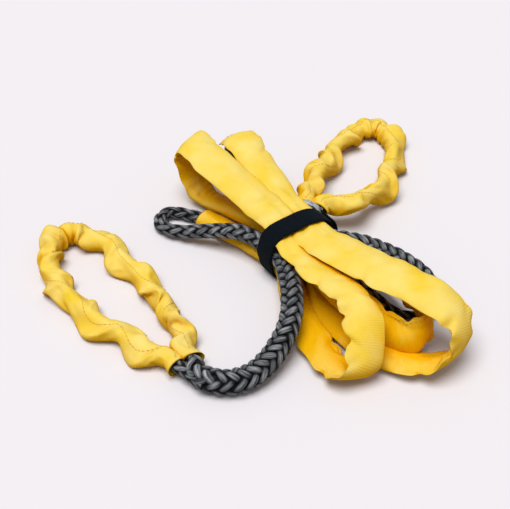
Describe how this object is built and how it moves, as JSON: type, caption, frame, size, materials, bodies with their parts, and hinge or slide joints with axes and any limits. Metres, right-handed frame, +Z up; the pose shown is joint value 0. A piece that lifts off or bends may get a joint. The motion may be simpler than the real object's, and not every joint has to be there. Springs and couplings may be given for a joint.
{
  "type": "soft tow rope",
  "caption": "Soft tow rope of hollow braid with a sleeved eye at each end and a long fabric chafe sleeve, folded into a hank and held by a hook-and-loop strap",
  "frame": {"origin": "on the floor under the middle of the strap", "axes": "+X along the hank from the back folds to the front loops, +Y across it, +Z up"},
  "size_m": [0.3078, 0.3543, 0.0594],
  "materials": {
    "rope": "braided synthetic fibre, matt grey",
    "sleeve_fabric": "woven tubular webbing, matt yellow",
    "strap": "brushed loop pile, black",
    "hook_patch": "moulded hooks, black",
    "thread": "sewing thread",
    "label": "plain coated tape, silver grey"
  },
  "bodies": {
    "hank": {"standing_rope": "rope", "buried_tail_a": "rope", "buried_tail_b": "rope", "long_sleeve": "sleeve_fabric", "strap_band": "strap", "label_band": "label"},
    "eye_a": {"eye_rope_a": "rope", "eye_sleeve_a": "sleeve_fabric"},
    "eye_b": {"eye_rope_b": "rope", "eye_sleeve_b": "sleeve_fabric"},
    "strap_flap": {"strap_tail": "strap", "strap_hook_patch": "hook_patch", "strap_stitches": "thread"}
  },
  "joints": [
    {"name": "eye_a_lift", "type": "hinge", "parent": "hank", "child": "eye_a", "pos_m": [0.052, -0.134, 0.0146], "axis": [0, 1, 0], "range_deg": [0, 70]},
    {"name": "eye_b_lift", "type": "hinge", "parent": "hank", "child": "eye_b", "pos_m": [-0.025, 0.0326, 0.0307], "axis": [0.866, 0.5, 0], "range_deg": [0, 45]},
    {"name": "strap_peel", "type": "hinge", "parent": "hank", "child": "strap_flap", "pos_m": [0, 0.0335, 0.01], "axis": [-1, 0, 0], "range_deg": [0, 80]}
  ]
}
